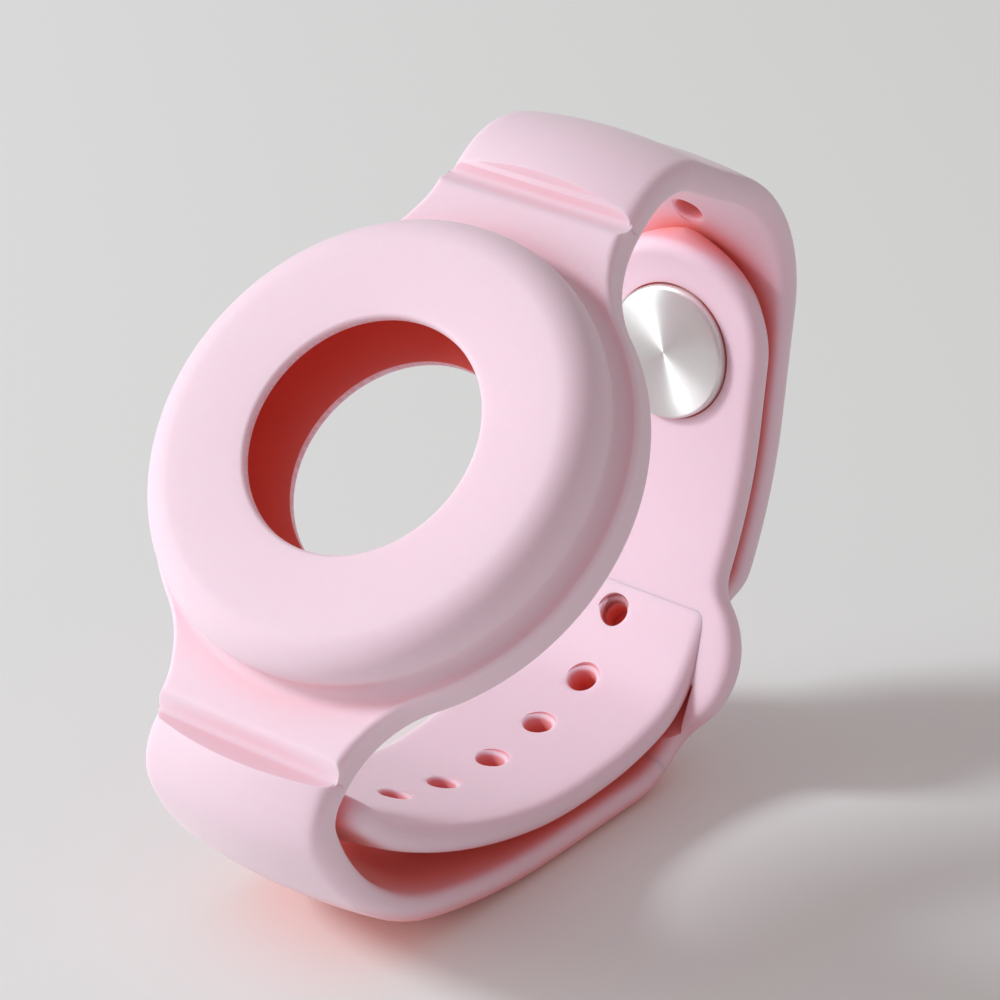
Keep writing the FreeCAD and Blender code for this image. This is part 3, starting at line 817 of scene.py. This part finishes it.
def band_skin():
    """Holder with the starts of both straps, in one piece."""
    band = holder()
    distances = [-TONGUE] + spaced(0, TAIL_PARTING)
    hole_strap = sweep("hole_strap", hole, 1, distances, strap_shape, lean=tail_lean)
    cut(hole_strap, hole_cutters())
    pin_strap = sweep("pin_strap", pin, -1, [-TONGUE] + spaced(0, SOLE_PARTING), strap_shape)
    for strap, end in ((hole_strap, LUG_Y), (pin_strap, -LUG_Y)):
        groove(strap, end)
        combine(band, strap, "UNION")
    mark_pocket_painted_shade(band)
    sharpen(band, SOFT_CREASE_DEG)
    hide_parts("holder_base", "pocket_wall", "front_lip", "hole_strap", "pin_strap")
    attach(band, "band")


def tail_skin():
    """Hole strap from the keeper's slot to its free end."""
    def tail_shape(distance):
        return tip_half(distance, hole.length, TAIL_CORNER), EDGE, CROWN

    distances = spaced(TAIL_PARTING, hole.length, tip_marks(hole.length, TAIL_CORNER))[:-1]
    tail = sweep("tail_skin", hole, 1, distances, tail_shape, TAIL_CORNER, tail_lean)
    cut(tail, hole_cutters())
    sharpen(tail, SOFT_CREASE_DEG)
    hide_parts("strap_tail", "tail_tip")
    first, last = (hole.at(marks["tail_flex"] + d)[0] for d in (-THICKNESS, 2 * THICKNESS))
    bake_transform(tail)


def stud_skins():
    point, heading = pin.at(marks["flap_stud"])
    outward = -left_of(heading)
    seat = spot(point + outward * STUD_SINK)
    axis = direction(outward)
    bevel = STUD_HEIGHT / 4
    tiny = POST_RADIUS / 100
    disc = [(tiny, 0.0), (STUD_RADIUS, 0.0), (STUD_RADIUS, bevel - STUD_HEIGHT)]
    low_edge = (STUD_RADIUS - bevel, bevel - STUD_HEIGHT)
    disc += arc_points(low_edge, bevel, 0, -90, SMALL_ROUNDING_POINTS)[1:]
    disc += [(STUD_RADIUS * share, -STUD_HEIGHT) for share in (0.75, 0.5, 0.25)] + [(tiny, -STUD_HEIGHT)]
    face = lathe("stud_disc_skin", disc, seat, axis, STEEL, DISC_SIDES)
    neck = THICKNESS - STUD_SINK + LAYER_STEP
    rounding = HEAD_HEIGHT / 2
    head = [(tiny, neck + HEAD_HEIGHT)]
    head += arc_points((HEAD_RADIUS - rounding, neck + rounding), rounding, 90, 0, ROUNDING_POINTS - 1)
    head += [(HEAD_RADIUS, neck), (POST_RADIUS, neck), (POST_RADIUS, -STUD_SINK / 2), (tiny, -STUD_SINK / 2)]
    knob = lathe("stud_head_skin", head, seat, axis, STEEL, HEAD_SIDES)
    for obj, node in ((face, "stud_disc"), (knob, "stud_head")):
        sharpen(obj, METAL_CREASE_DEG)
        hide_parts(node)
        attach(obj, "stud")


band_skin()
flap_skin()
tail_skin()
stud_skins()


# Setting: a pale floor, the photo's camera, a window and a bright wall on the left, and the room's own light
def floor():
    bpy.ops.mesh.primitive_plane_add(size=4.0, location=(0, 0, 0))
    obj = bpy.context.object
    obj.name = "floor"
    mat = bpy.data.materials.new("floor")
    mat.use_nodes = True
    shader = mat.node_tree.nodes["Principled BSDF"]
    shader.inputs["Base Color"].default_value = (0.90, 0.90, 0.89, 1)
    shader.inputs["Roughness"].default_value = 0.9
    shader.inputs["Specular IOR Level"].default_value = 0.1
    obj.data.materials.append(mat)


# Camera: the point that it looks at, in millimetres, and its place round that point
AIM = (0.0, 1.486, 29.856)
CAMERA_DISTANCE = 323.811
CAMERA_AZIMUTH_DEG = -53.1268
CAMERA_ELEVATION_DEG = 26.9222
CAMERA_ROLL_DEG = 1.4947
SENSOR_WIDTH = 36.0
FOCAL_LENGTH = 144.0


def camera():
    data = bpy.data.cameras.new("camera")
    data.sensor_width = SENSOR_WIDTH
    data.lens = FOCAL_LENGTH
    data.clip_start = 0.01
    data.clip_end = 10.0
    data.dof.use_dof = False
    obj = bpy.data.objects.new("camera", data)
    azimuth = math.radians(CAMERA_AZIMUTH_DEG)
    elevation = math.radians(CAMERA_ELEVATION_DEG)
    level = math.cos(elevation)
    back = Vector((level * math.cos(azimuth), level * math.sin(azimuth), math.sin(elevation)))
    place = (Vector(AIM) + back * CAMERA_DISTANCE) / 1000
    roll = Matrix.Rotation(math.radians(CAMERA_ROLL_DEG), 4, "Z")
    obj.matrix_world = Matrix.Translation(place) @ back.to_track_quat("Z", "Y").to_matrix().to_4x4() @ roll
    bpy.context.scene.collection.objects.link(obj)
    bpy.context.scene.camera = obj


# Directions from the part to the window and to the bright wall
WINDOW_TOWARD = (-0.69, -0.48, 0.54)
WALL_TOWARD = (-0.70, -0.64, 0.28)


def window_light(name, toward, distance, size, power, colour):
    data = bpy.data.lights.new(name, "AREA")
    data.shape = "DISK"
    data.size = size
    data.energy = power
    data.color = colour
    obj = bpy.data.objects.new(name, data)
    obj.location = Vector(toward).normalized() * distance
    obj.rotation_euler = (-obj.location).to_track_quat("-Z", "Y").to_euler()
    bpy.context.scene.collection.objects.link(obj)


def room(strength, colour):
    data = bpy.data.worlds.new("room")
    bpy.context.scene.world = data
    data.use_nodes = True
    back = data.node_tree.nodes["Background"]
    back.inputs["Color"].default_value = (*colour, 1)
    back.inputs["Strength"].default_value = strength


floor()
camera()
window_light("window", WINDOW_TOWARD, distance=1.2, size=0.26, power=7.6, colour=(0.88, 0.98, 1.0))
window_light("wall", WALL_TOWARD, distance=1.5, size=0.9, power=7.0, colour=(0.96, 0.98, 1.0))
room(strength=0.41, colour=(1.0, 0.93, 0.92))
bpy.context.scene.view_settings.view_transform = "Standard"
